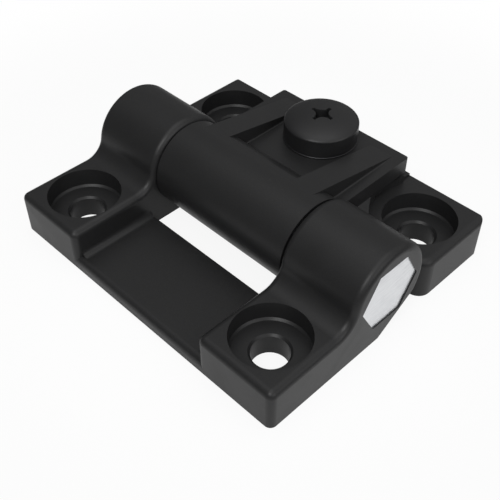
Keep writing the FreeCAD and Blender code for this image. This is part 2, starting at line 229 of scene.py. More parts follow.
@dataclass(frozen=True)
class SurfaceEffects:
    """The effects that more than one finish uses, each a node group."""

    grain: bpy.types.NodeTree
    handling: bpy.types.NodeTree
    dust: bpy.types.NodeTree
    pits_per_grain: ClassVar[float] = 1.7
    pit_edge: ClassVar[tuple[float, float]] = (0.05, 0.45)
    grain_span: ClassVar[tuple[float, float]] = (0.2, 0.7)
    patch_edge: ClassVar[tuple[float, float]] = (0.38, 0.66)
    upward: ClassVar[tuple[float, float]] = (0.3, 0.95)
    specks_per_metre: ClassVar[float] = 2600.0
    speck_edge: ClassVar[tuple[float, float]] = (0.66, 0.78)

    @classmethod
    def build(cls) -> "SurfaceEffects":
        """Build the three groups once."""
        return cls(cls.build_grain(), cls.build_handling(), cls.build_dust())

    @classmethod
    def build_grain(cls) -> bpy.types.NodeTree:
        """Build a tool's fine texture: soft noise at one size, with smaller pits in it.

        Returns:
            The group, which puts out a height and a mask.
        """
        bench, entry, leave = new_group("fine_grain", {"Vector": None, "Size": 0.2, "Pits": 0.3},
                                        ["Height", "Mask"])
        per_metre = bench.math("DIVIDE", 1.0 / MM, entry.outputs["Size"])
        soft = bench.add(Kind.NOISE, {"Vector": entry.outputs["Vector"], "Scale": per_metre,
                                      "Detail": 3.0, "Roughness": 0.55})
        finer = bench.math("MULTIPLY", per_metre, cls.pits_per_grain)
        cells = bench.add(Kind.CELLS, {"Vector": entry.outputs["Vector"], "Scale": finer})
        pit = bench.ramp(cells.outputs["Distance"], *cls.pit_edge, 1.0, 0.0)
        deep = bench.math("MULTIPLY", pit, entry.outputs["Pits"])
        height = bench.math("SUBTRACT", soft.outputs["Fac"], deep)
        bench.feed(leave.inputs["Height"], height)
        bench.feed(leave.inputs["Mask"], bench.ramp(height, *cls.grain_span, 0.0, 1.0))
        return bench.tree

    @classmethod
    def build_handling(cls) -> bpy.types.NodeTree:
        """Build broad patches where hands have polished a surface.

        Returns:
            The group, which puts out a mask between 0 and 1.
        """
        bench, entry, leave = new_group("handling", {"Vector": None, "Size": 9.0}, ["Mask"])
        per_metre = bench.math("DIVIDE", 1.0 / MM, entry.outputs["Size"])
        broad = bench.add(Kind.NOISE, {"Vector": entry.outputs["Vector"], "Scale": per_metre,
                                       "Detail": 4.0, "Roughness": 0.6, "Distortion": 0.4})
        patches = bench.ramp(broad.outputs["Fac"], *cls.patch_edge, 0.0, 1.0)
        bench.feed(leave.inputs["Mask"], patches)
        return bench.tree

    @classmethod
    def build_dust(cls) -> bpy.types.NodeTree:
        """Build sparse specks that settle on faces looking up.

        Returns:
            The group, which puts out a mask between 0 and 1.
        """
        bench, entry, leave = new_group("settled_dust", {"Vector": None, "Amount": 0.3}, ["Mask"])
        shape = bench.add(Kind.GEOMETRY)
        up = bench.add(Kind.SPLIT, {"Vector": shape.outputs["Normal"]}).outputs["Z"]
        lying = bench.ramp(up, *cls.upward, 0.0, 1.0)
        specks = bench.add(Kind.NOISE, {"Vector": entry.outputs["Vector"],
                                        "Scale": cls.specks_per_metre, "Detail": 2.0})
        sparse = bench.ramp(specks.outputs["Fac"], *cls.speck_edge, 0.0, 1.0)
        held = bench.math("MULTIPLY", lying, sparse)
        bench.feed(leave.inputs["Mask"], bench.math("MULTIPLY", held, entry.outputs["Amount"]))
        return bench.tree


def new_material(name: str) -> NodeBench:
    """Start an empty node material.

    Args:
        name: the material's name.

    Returns:
        The bench of its node tree.
    """
    material = bpy.data.materials.new(name)
    material.use_nodes = True
    return NodeBench(material.node_tree)


@dataclass(frozen=True)
class MouldedPlastic:
    """Satin black glass-filled plastic with the fine texture of its mould."""

    effects: SurfaceEffects
    name: str = "satin_black_plastic"
    colour: tuple[float, float, float, float] = (0.0110, 0.0110, 0.0113, 1.0)
    pale: tuple[float, float, float, float] = (0.0150, 0.0150, 0.0153, 1.0)
    dust_colour: tuple[float, float, float, float] = (0.06, 0.058, 0.055, 1.0)
    roughness: tuple[float, float] = (0.39, 0.33)
    specular: float = 0.25
    grain_size: float = 0.16
    grain_depth: float = 0.0035 * MM
    dust_amount: float = 0.12

    def material(self) -> bpy.types.Material:
        """Build the finish: the sheen varies with handling, tone and height with the grain.

        Returns:
            The material.
        """
        bench = new_material(self.name)
        place = bench.add(Kind.COORDINATES).outputs["Object"]
        grain = bench.effect(self.effects.grain, place, Size=self.grain_size)
        handled = bench.effect(self.effects.handling, place)
        dust = bench.effect(self.effects.dust, place, Amount=self.dust_amount)
        tone = bench.tint(grain.outputs["Mask"], self.colour, self.pale)
        dusty = bench.tint(dust.outputs["Mask"], tone, self.dust_colour)
        sheen = bench.ramp(handled.outputs["Mask"], 0.0, 1.0, *self.roughness)
        bench.close(grain.outputs["Height"], self.grain_depth, {
            "Base Color": dusty, "Roughness": sheen, "Specular IOR Level": self.specular})
        return bpy.data.materials[self.name]


@dataclass(frozen=True)
class BareBar:
    """Bare drawn bar, its end sawn and brushed in one direction."""

    effects: SurfaceEffects
    name: str = "bare_drawn_bar"
    colour: tuple[float, float, float, float] = (0.80, 0.81, 0.825, 1.0)
    shade: tuple[float, float, float, float] = (0.70, 0.71, 0.73, 1.0)
    roughness: tuple[float, float] = (0.30, 0.42)
    stretch: tuple[float, float, float] = (1.0, 0.06, 1.0)
    grain_size: float = 0.12
    pits: float = 0.1
    patch_size: float = 3.0
    grain_depth: float = 0.002 * MM

    def material(self) -> bpy.types.Material:
        """Build the finish: long fine streaks along Y with small variation in tone.

        Returns:
            The material.
        """
        bench = new_material(self.name)
        place = bench.add(Kind.COORDINATES).outputs["Object"]
        drawn = bench.add(Kind.MAPPING, {"Vector": place, "Scale": self.stretch})
        grain = bench.effect(self.effects.grain, drawn.outputs["Vector"],
                             Size=self.grain_size, Pits=self.pits)
        handled = bench.effect(self.effects.handling, place, Size=self.patch_size)
        tone = bench.tint(grain.outputs["Mask"], self.shade, self.colour)
        sheen = bench.ramp(handled.outputs["Mask"], 0.0, 1.0, *self.roughness)
        bench.close(grain.outputs["Height"], self.grain_depth, {
            "Base Color": tone, "Roughness": sheen, "Metallic": 1.0})
        return bpy.data.materials[self.name]


@dataclass(frozen=True)
class TurnedSteel:
    """Steel turned or coiled about an upright axis, bare, plated or coated."""

    effects: SurfaceEffects
    name: str
    colour: tuple[float, float, float, float]
    shade: tuple[float, float, float, float]
    metallic: float
    specular: float
    roughness: tuple[float, float]
    centre: Vector
    ring_scale: float = 9000.0
    ring_share: float = 0.6
    ring_lean: float = 0.7
    grain_size: float = 0.10
    patch_size: float = 4.0
    depth: float = 0.002 * MM

    def material(self) -> bpy.types.Material:
        """Build the finish: fine rings about the axis, left by the tool, under soft patches.

        Returns:
            The material.
        """
        bench = new_material(self.name)
        place = bench.add(Kind.COORDINATES).outputs["Object"]
        about = bench.add(Kind.MAPPING, {"Vector": place, "Location": -self.centre})
        part = bench.add(Kind.SPLIT, {"Vector": about.outputs["Vector"]})
        square_x = bench.math("MULTIPLY", part.outputs["X"], part.outputs["X"])
        square_y = bench.math("MULTIPLY", part.outputs["Y"], part.outputs["Y"])
        radius = bench.math("SQRT", bench.math("ADD", square_x, square_y), 0.0)
        lean = bench.math("MULTIPLY", part.outputs["Z"], self.ring_lean)
        along = bench.math("ADD", radius, lean)
        rings = bench.add(Kind.NOISE, {"W": along, "Scale": self.ring_scale, "Detail": 2.0},
                          noise_dimensions="1D")
        grain = bench.effect(self.effects.grain, place, Size=self.grain_size)
        handled = bench.effect(self.effects.handling, place, Size=self.patch_size)
        tone = bench.tint(grain.outputs["Mask"], self.shade, self.colour)
        sheen = bench.ramp(handled.outputs["Mask"], 0.0, 1.0, *self.roughness)
        turned = bench.math("MULTIPLY", rings.outputs["Fac"], self.ring_share)
        relief = bench.math("ADD", grain.outputs["Height"], turned)
        bench.close(relief, self.depth, {
            "Base Color": tone, "Roughness": sheen, "Metallic": self.metallic,
            "Specular IOR Level": self.specular})
        return bpy.data.materials[self.name]


def ring_mesh(name: str, points: np.ndarray, capped: bool) -> bpy.types.Object:
    """Make a closed mesh from rings of points.

    Neighbouring rings are joined by quads, and each ring closes on itself. With caps, the
    first and last ring each shrink to one pole; without, the last ring joins the first.

    Args:
        name: the new object's name.
        points: an array of rings by steps by three coordinates, in metres. The steps run
            anticlockwise seen from the first ring's side, and the rings go down the outside.
        capped: whether the first and last rings are poles.

    Returns:
        The new object, linked to the scene.
    """
    steps = points.shape[1]
    body = points[1:-1] if capped else points
    count = body.shape[0]
    index = np.arange(count * steps).reshape(count, steps)
    after = np.roll(index, -1, axis=1)
    if capped:
        upper, lower = index[:-1], index[1:]
        upper_next, lower_next = after[:-1], after[1:]
    else:
        upper, lower = index, np.roll(index, -1, axis=0)
        upper_next, lower_next = after, np.roll(after, -1, axis=0)
    quads = np.stack([upper, lower, lower_next, upper_next], axis=-1).reshape(-1, 4)
    corners = [quads.ravel()]
    sizes = [np.full(len(quads), 4)]
    vertices = body.reshape(-1, 3)
    if capped:
        first = count * steps
        last = first + 1
        vertices = np.vstack([vertices, points[0].mean(axis=0), points[-1].mean(axis=0)])
        top = np.stack([np.full(steps, first), index[0], after[0]], axis=-1)
        bottom = np.stack([np.full(steps, last), after[-1], index[-1]], axis=-1)
        corners += [top.ravel(), bottom.ravel()]
        sizes += [np.full(2 * steps, 3)]
    loops = np.concatenate(corners).astype(np.int32)
    totals = np.concatenate(sizes).astype(np.int32)
    starts = np.concatenate([[0], np.cumsum(totals)[:-1]]).astype(np.int32)
    mesh = bpy.data.meshes.new(name)
    mesh.vertices.add(len(vertices))
    mesh.vertices.foreach_set("co", vertices.astype(np.float32).ravel())
    mesh.loops.add(len(loops))
    mesh.loops.foreach_set("vertex_index", loops)
    mesh.polygons.add(len(totals))
    mesh.polygons.foreach_set("loop_start", starts)
    mesh.polygons.foreach_set("loop_total", totals)
    mesh.update(calc_edges=True)
    mesh.validate()
    mesh.shade_smooth()
    mesh.set_sharp_from_angle(angle=SHARP_ANGLE)
    piece = bpy.data.objects.new(name, mesh)
    bpy.context.scene.collection.objects.link(piece)
    return piece


def turn_profile(radii: np.ndarray, heights: np.ndarray, steps: int,
                 centre: Vector) -> tuple[np.ndarray, np.ndarray]:
    """Turn a profile about an upright axis.

    Each point of the profile becomes a ring: x is the radius times the cosine of the angle,
    y the radius times its sine, and z the height.

    Args:
        radii: the profile's distances from the axis, in metres.
        heights: its heights, in metres.
        steps: the number of points round each ring.
        centre: a point on the axis.

    Returns:
        The rings of points, and the angle of each step.
    """
    angles = np.linspace(0.0, 2.0 * math.pi, steps, endpoint=False)
    across = radii[:, None] * np.cos(angles) + centre.x
    along = radii[:, None] * np.sin(angles) + centre.y
    up = np.repeat(heights[:, None], steps, axis=1)
    return np.stack([across, along, up], axis=-1), angles


def thread_radius(crest: float, depth: float, pitch: float, heights: np.ndarray,
                  angles: np.ndarray) -> np.ndarray:
    """Give the radius of a right-hand thread at each height and angle.

    The phase is the height over the pitch, less the share of a turn, and the radius falls
    from the crest to the root and back with it, with a short flat at each.

    Args:
        crest: the radius at the crests.
        depth: how far the roots lie inside the crests, or outside when negative.
        pitch: the lift of one turn.
        heights: the heights of the rings.
        angles: the angles of the steps.

    Returns:
        An array of rings by steps with the radius.
    """
    phase = heights[:, None] / pitch - angles[None, :] / (2.0 * math.pi)
    saw = np.abs(2.0 * (phase - np.floor(phase)) - 1.0)
    flank = np.clip((saw - THREAD_FLAT) / THREAD_FLANK, 0.0, 1.0)
    return crest - depth * (1.0 - flank)


def dress(piece: bpy.types.Object, material: bpy.types.Material) -> None:
    """Give a piece one material in place of all that it has."""
    piece.data.materials.clear()
    piece.data.materials.append(material)


@dataclass
class AdjustingScrew:
    """The domed screw: cross recess, sharp-rimmed head and threaded shank."""

    finish: TurnedSteel
    centre: Vector
    crown: float
    seat: float
    tip: float
    head_radius: float
    shank_radius: float = 2.95 * MM
    wall_height: float = 2.57 * MM
    pitch: float = 1.0 * MM
    thread_depth: float = 0.5 * MM
    recess_reach: float = 1.9 * MM
    recess_tip: float = 0.32 * MM
    recess_waist: float = 0.95 * MM
    recess_depth: float = 2.0 * MM
    recess_draft: float = 0.24 * MM
    recess_fall: float = 0.45
    ellipse_share: float = 0.8
    fine_share: float = 1.2
    fine_rings: int = 54
    dome_rings: int = 32
    rim_round: float = 0.06 * MM
    wall_step: float = 0.9 * MM
    neck: float = 0.4 * MM
    thread_gap: float = 0.02 * MM
    thread_rings: int = 132
    taper_length: float = 0.6 * MM
    taper_half: float = 0.35 * MM
    taper_full: float = 0.8 * MM
    steps: int = 224

    def recess(self, across: np.ndarray, along: np.ndarray) -> np.ndarray:
        """Give the depth of the cross recess at points of the head.

        The outline of the recess is four arms whose flanks are arcs of circles centred on the
        diagonals. The depth grows from the outline inwards over the draft, and the floor of
        each arm falls towards the middle.

        Args:
            across: distances from the axis along X.
            along: distances from the axis along Y.

        Returns:
            The depth at each point, zero outside the recess.
        """
        reach, tip, waist = self.recess_reach, self.recess_tip, self.recess_waist
        diagonal = math.sqrt(2.0)
        offset = (reach ** 2 + tip ** 2 - waist ** 2) / (2.0 * (reach + tip - diagonal * waist))
        flank = diagonal * offset - waist
        side, far = np.abs(across), np.abs(along)
        inside_flank = np.hypot(side - offset, far - offset) - flank
        inside_tip = reach - np.maximum(side, far)
        inside = np.minimum(inside_flank, inside_tip)
        share = np.clip(inside / self.recess_draft, 0.0, 1.0)
        wall = share * share * (3.0 - 2.0 * share)
        fall = 1.0 - self.recess_fall * np.clip(np.hypot(across, along) / reach, 0.0, 1.0)
        return self.recess_depth * wall * fall

    def dome(self) -> tuple[np.ndarray, np.ndarray]:
        """Give the outline of the dome, from the crown to its rim.

        It is mostly an ellipse, which meets the wall upright, and for the rest a parabola. Its
        outer points lie at equal angles of the ellipse, and the ones at the recess lie close
        together.

        Returns:
            The radii and the heights.
        """
        rise = self.crown - self.seat - self.wall_height
        fine = self.fine_share * self.recess_reach
        inner = np.linspace(0.0, fine, self.fine_rings)
        start = math.asin(fine / self.head_radius)
        outer = np.linspace(start, math.pi / 2.0, self.dome_rings)[1:]
        radii = np.concatenate([inner, self.head_radius * np.sin(outer)])
        rest = np.maximum(1.0 - (radii / self.head_radius) ** 2, 0.0)
        fullness = self.ellipse_share * np.sqrt(rest) + (1.0 - self.ellipse_share) * rest
        return radii, self.crown - rise * (1.0 - fullness)

    def wall(self) -> tuple[np.ndarray, np.ndarray]:
        """Give the outline of the head's wall and of its seat, from the rim to the neck.

        Returns:
            The radii and the heights.
        """
        rim, soft = self.head_radius, self.rim_round
        top = self.seat + self.wall_height
        radii = [rim, rim, rim, rim, rim - soft, self.shank_radius + self.neck]
        heights = [top - soft, top - self.wall_step, top - 2.0 * self.wall_step,
                   self.seat + soft, self.seat, self.seat]
        return np.array(radii), np.array(heights)

    def taper(self) -> tuple[np.ndarray, np.ndarray]:
        """Give the outline of the tapered tip, down to the axis.

        Returns:
            The radii and the heights.
        """
        radii = [self.shank_radius - self.taper_half, self.shank_radius - self.taper_full, 0.0]
        heights = [self.tip + self.taper_length / 2.0, self.tip, self.tip]
        return np.array(radii), np.array(heights)

    def build(self) -> bpy.types.Object:
        """Build the screw, in place of its plain solid.

        Returns:
            The new object.
        """
        (dome, dome_up), (wall, wall_up), (end, end_up) = self.dome(), self.wall(), self.taper()
        shank = np.full(self.thread_rings, self.shank_radius)
        shank_up = np.linspace(self.seat - self.thread_gap, self.tip + self.taper_length,
                               self.thread_rings)
        radii = np.concatenate([dome, wall, shank, end])
        heights = np.concatenate([dome_up, wall_up, shank_up, end_up])
        points, angles = turn_profile(radii, heights, self.steps, self.centre)
        head = points[:len(dome)]
        head[..., 2] -= self.recess(head[..., 0] - self.centre.x, head[..., 1] - self.centre.y)
        threaded = points[len(dome) + len(wall):-len(end)]
        turns = thread_radius(self.shank_radius, self.thread_depth, self.pitch, shank_up, angles)
        threaded[..., 0] = turns * np.cos(angles) + self.centre.x
        threaded[..., 1] = turns * np.sin(angles) + self.centre.y
        piece = ring_mesh("adjusting_screw_turned", points, capped=True)
        dress(piece, self.finish.material())
        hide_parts("adjusting_screw")
        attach(piece, Body.SCREW.value)
        return piece


@dataclass
class DiscSpring:
    """The thin disc spring under the screw head, its edges rolled."""

    finish: TurnedSteel
    low: Vector
    high: Vector
    hole_radius: float = 3.1 * MM
    seat_play: float = 0.01 * MM
    roll_share: float = 0.3
    roll_steps: int = 5
    steps: int = 160

    def build(self) -> bpy.types.Object:
        """Build the disc: a rectangle with rounded corners turned about the screw's axis.

        Returns:
            The new object.
        """
        centre = (self.low + self.high) / 2.0
        outer = (self.high.x - self.low.x) / 2.0
        bottom = self.low.z + self.seat_play
        soft = self.roll_share * (self.high.z - bottom)
        quarter = np.linspace(0.0, math.pi / 2.0, self.roll_steps)
        corners = [
            (outer - soft, self.high.z - soft, 0.0),
            (self.hole_radius + soft, self.high.z - soft, math.pi / 2.0),
            (self.hole_radius + soft, bottom + soft, math.pi),
            (outer - soft, bottom + soft, 1.5 * math.pi),
        ]
        radii = np.concatenate([r + soft * np.cos(start + quarter) for r, _, start in corners])
        heights = np.concatenate([z + soft * np.sin(start + quarter) for _, z, start in corners])
        points, _ = turn_profile(radii[::-1], heights[::-1], self.steps, centre)
        piece = ring_mesh("disc_spring_rolled", points, capped=False)
        dress(piece, self.finish.material())
        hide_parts("spring_washer")
        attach(piece, Body.SPRING.value)
        return piece


@dataclass
class ClampNut:
    """The hexagon nut in its pocket: bevelled corners and a threaded bore."""

    finish: TurnedSteel
    low: Vector
    high: Vector
    bore_radius: float = 3.0 * MM
    pitch: float = 1.0 * MM
    thread_depth: float = 0.3 * MM
    bevel_radius: float = 4.85 * MM
    bevel_slope: float = 0.577
    side_rings: int = 25
    bore_rings: int = 60
    steps: int = 192

    def build(self) -> bpy.types.Object:
        """Build the nut.

        Round the nut, the radius is the distance to the flat in that direction, cut back near
        both ends to a cone. In the bore, the thread's roots lie outside the bore's radius.

        Returns:
            The new object.
        """
        centre = (self.low + self.high) / 2.0
        apothem = (self.high.y - self.low.y) / 2.0
        side = np.linspace(self.high.z, self.low.z, self.side_rings)
        bore = np.linspace(self.low.z, self.high.z, self.bore_rings)
        heights = np.concatenate([side, bore])
        points, angles = turn_profile(np.full(len(heights), apothem), heights, self.steps, centre)
        sector = math.pi / 3.0
        flats = apothem / np.cos((angles % sector) - sector / 2.0)
        from_end = np.minimum(side - self.low.z, self.high.z - side)
        cone = self.bevel_radius + from_end / self.bevel_slope
        outside = np.minimum(flats[None, :], cone[:, None])
        inside = thread_radius(self.bore_radius, -self.thread_depth, self.pitch, bore, angles)
        radius = np.concatenate([outside, inside])
        points[..., 0] = radius * np.cos(angles) + centre.x
        points[..., 1] = radius * np.sin(angles) + centre.y
        piece = ring_mesh("clamp_nut_threaded", points, capped=False)
        dress(piece, self.finish.material())
        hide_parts("clamp_nut")
        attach(piece, Body.REAR.value)
        return piece


@dataclass
class PackedPieces:
    """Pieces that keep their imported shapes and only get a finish."""

    finish: bpy.types.Material
    nodes: tuple[str, ...]

    def build(self) -> list[bpy.types.Object]:
        """Dress the pieces.

        Returns:
            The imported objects.
        """
        pieces = [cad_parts[name] for name in self.nodes]
        for piece in pieces:
            dress(piece, self.finish)
        return pieces


@dataclass
class Leaves(PackedPieces):
    """The two moulded leaves."""

    nodes: tuple[str, ...] = ("front_leaf", "rear_leaf")


@dataclass
class HingePins(PackedPieces):
    """The two pins pressed into the knuckles."""

    nodes: tuple[str, ...] = ("pin_right", "pin_left")


@dataclass
class LeafForm:
    """A fine form of the rear leaf, with the sizes of the leaf that it meets."""

    finish: bpy.types.Material
    axis: Vector
    tongue_top: float
    tongue_side: float = 12.35 * MM
    barrel_radius: float = 6.6 * MM
    pocket_front: float = 2.6 * MM
    rib_slope: float = math.tan(math.radians(10.4))

    def place(self, name: str, points: np.ndarray) -> bpy.types.Object:
        """Build a closed form from rings of points, in the leaf's plastic.

        Args:
            name: the new object's name.
            points: an array of rings by steps by three coordinates, in metres.

        Returns:
            The new object.
        """
        piece = ring_mesh(name, points, capped=True)
        dress(piece, self.finish)
        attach(piece, Body.REAR.value)
        return piece


@dataclass
class RibCoves(LeafForm):
    """The fine coves where the ribs and the barrel rise from the tongue."""

    leg: float = 0.27 * MM
    least_leg: float = 0.02 * MM
    rise_share: float = 0.7
    back_share: float = 0.2
    rib_inner: float = 6.6 * MM
    rib_outer: float = 10.6 * MM
    rib_end: float = 18.9 * MM
    steps: int = 40
    arc_steps: int = 9

    def fill(self, name: str, corner: np.ndarray, floor: np.ndarray,
             wall: np.ndarray) -> bpy.types.Object:
        """Lay a cove along a path.

        At each point of the path, the cove is the parabola that leaves the floor one leg away
        from the corner and meets the wall one leg above it: with a share t from 0 to 1, the
        corner plus the leg times (1 - t) squared along the floor and t squared along the wall.
        Its back lies a share of a leg behind the corner, inside the leaf. The leg shrinks with
        the height of the rib.

        Args:
            name: the new object's name.
            corner: the path's points, an array of points by three coordinates, in metres.
            floor: at each point, the way along the floor away from the wall.
            wall: at each point, the way up the wall.

        Returns:
            The new object, linked to the scene.
        """
        rise = (self.rib_end - (corner[:, 1] - self.axis.y)) * self.rib_slope
        leg = np.clip(self.rise_share * rise, self.least_leg, self.leg)[:, None, None]
        share = np.linspace(0.0, 1.0, self.arc_steps)[None, :, None]
        front = corner[:, None] + leg * ((1.0 - share) ** 2 * floor[:, None]
                                         + share ** 2 * wall[:, None])
        back = corner[:, None] - self.back_share * leg * (floor[:, None] + wall[:, None])
        loops = np.concatenate([front, back], axis=1)
        return self.place(name, np.concatenate([loops[:1], loops, loops[-1:]]))

    def along(self, across: float, first: float, last: float) -> np.ndarray:
        """Give the points of a straight stretch beside a rib.

        Args:
            across: its place along the hinge axis.
            first: the distance behind the axis where it starts.
            last: the distance behind the axis where it ends.

        Returns:
            An array of points by three coordinates, in metres.
        """
        back = np.linspace(first, last, self.steps)
        return np.stack([np.full(self.steps, across), self.axis.y + back,
                         np.full(self.steps, self.tongue_top)], axis=-1)

    def inside(self, name: str, side: float) -> bpy.types.Object:
        """Lay the cove inside one rib, from its low end into the back of the barrel.

        Args:
            name: the new object's name.
            side: 1 for the right rib and -1 for the left one.

        Returns:
            The new object.
        """
        path = self.along(side * self.rib_inner, self.rib_end, self.pocket_front)
        floor = np.tile([-side, 0.0, 0.0], (len(path), 1))
        wall = np.tile([0.0, 0.0, 1.0], (len(path), 1))
        order = slice(None) if side > 0 else slice(None, None, -1)
        return self.fill(name, path[order], floor[order], wall[order])

    def outside(self, name: str, side: float) -> bpy.types.Object:
        """Lay the cove outside one rib and on along the foot of the barrel.

        Args:
            name: the new object's name.
            side: 1 for the right rib and -1 for the left one.

        Returns:
            The new object.
        """
        height = self.tongue_top - self.axis.z
        foot = math.sqrt(self.barrel_radius ** 2 - height ** 2)
        path = self.along(side * self.rib_outer, self.rib_end, foot)
        path = np.vstack([path, path[-1]])
        path[-1, 0] = side * self.tongue_side
        floor = np.tile([side, 0.0, 0.0], (len(path), 1))
        floor[-2, 1] = 1.0
        floor[-1] = (0.0, 1.0, 0.0)
        wall = np.tile([0.0, 0.0, 1.0], (len(path), 1))
        wall[-2:, 1] = -height / foot
        order = slice(None, None, -1) if side > 0 else slice(None)
        return self.fill(name, path[order], floor[order], wall[order])

    def build(self) -> list[bpy.types.Object]:
        """Build the coves on both sides of both ribs."""
        return [
            self.inside("right_pocket_cove", 1.0),
            self.inside("left_pocket_cove", -1.0),
            self.outside("right_rib_cove", 1.0),
            self.outside("left_rib_cove", -1.0),
        ]


@dataclass
class BarrelBack(LeafForm):
    """The rounded back of the barrel, which rolls down into the pocket between the ribs."""

    half_width: float = 6.62 * MM
    cove: float = 0.8 * MM
    sunk: float = 0.05 * MM
    steps: int = 24

    def profile(self) -> tuple[np.ndarray, np.ndarray]:
        """Give the outline of the back, seen along the hinge axis.

        An arc with the barrel's radius leaves the back edge of the sloping top and rolls
        down, and a hollow arc leads from it to the floor of the pocket. The rest of the
        outline lies inside the leaf.

        Returns:
            The distances behind the axis and the heights over it.
        """
        radius, cove, start = self.barrel_radius, self.cove, self.pocket_front
        floor = self.tongue_top - self.axis.z
        top = radius * math.hypot(1.0, self.rib_slope) - start * self.rib_slope
        middle = top - math.sqrt(radius ** 2 - start ** 2)
        low = math.asin((floor + cove - middle) / (radius + cove))
        foot = (radius + cove) * math.cos(low)
        turn = np.linspace(math.acos(start / radius), low, self.steps)
        dip = np.linspace(math.pi + low, 1.5 * math.pi, self.steps // 2)[1:]
        inner, under = start - 4.0 * self.sunk, floor - self.sunk
        behind = np.concatenate([
            radius * np.cos(turn), foot + cove * np.cos(dip), [foot, inner, inner]])
        above = np.concatenate([
            middle + radius * np.sin(turn), floor + cove + cove * np.sin(dip),
            [under, under, top - 2.0 * self.sunk]])
        return behind, above

    def build(self) -> list[bpy.types.Object]:
        """Draw the outline out along the hinge axis, from rib to rib.

        Returns:
            A list with the new object.
        """
        behind, above = self.profile()
        across = np.array([-1.0, -1.0, 0.0, 1.0, 1.0]) * self.half_width
        points = np.empty((len(across), len(behind), 3))
        points[..., 0] = across[:, None]
        points[..., 1] = self.axis.y + behind
        points[..., 2] = self.axis.z + above
        return [self.place("barrel_back", points)]


@dataclass
class Shoulders(LeafForm):
    """The shoulders that slope from under the tongue's sides down to the two rear pads."""

    pad_top: float = 6.6 * MM
    shoulder_top: float = 8.45 * MM
    inner_side: float = 11.75 * MM
    front: float = 8.17 * MM
    hole_side: float = 18.85 * MM
    hole_back: float = 15.4 * MM
    ring_radius: float = 7.2 * MM
    edge: float = 0.08 * MM
    edge_share: float = 0.4
    sunk: float = 0.1 * MM
    steps: int = 32
    edge_steps: int = 5

    def shoulder(self, name: str, side: float) -> bpy.types.Object:
        """Build one shoulder as a row of cross sections from under the tongue to its foot.

        Each section is a rectangle from the pad's front to an arc round the mounting screw's
        head, its top edge there rounded in a quarter circle. The arc lies behind the axis by
        the hole's distance less the root of the radius squared minus the sideways distance to
        the hole squared. Past the tongue's side, the top falls as far as it goes outwards.

        Args:
            name: the new object's name.
            side: 1 for the right shoulder and -1 for the left one.

        Returns:
            The new object.
        """
        low = self.pad_top - self.sunk
        foot = self.tongue_side + self.shoulder_top - low - 0.5 * self.sunk
        across = np.concatenate([
            [self.inner_side, self.inner_side],
            np.linspace(self.tongue_side, foot, self.steps),
            [foot],
        ])[:, None]
        top = self.shoulder_top - np.maximum(across - self.tongue_side, 0.0)
        arc = self.hole_back - np.sqrt(self.ring_radius ** 2 - (self.hole_side - across) ** 2)
        soft = np.minimum(self.edge, self.edge_share * (top - low))
        turn = np.linspace(0.0, math.pi / 2.0, self.edge_steps)[None, :]
        bottom = np.full_like(arc, low)
        front = np.full_like(arc, self.front)
        points = np.empty((len(across), self.edge_steps + 3, 3))
        points[..., 0] = side * across
        points[..., 1] = self.axis.y + np.hstack(
            [front, arc, arc - soft + soft * np.cos(turn), front])
        points[..., 2] = np.hstack([bottom, bottom, top - soft + soft * np.sin(turn), top])
        return self.place(name, points if side < 0 else points[:, ::-1])

    def build(self) -> list[bpy.types.Object]:
        """Build both shoulders."""
        return [self.shoulder("right_shoulder", 1.0), self.shoulder("left_shoulder", -1.0)]


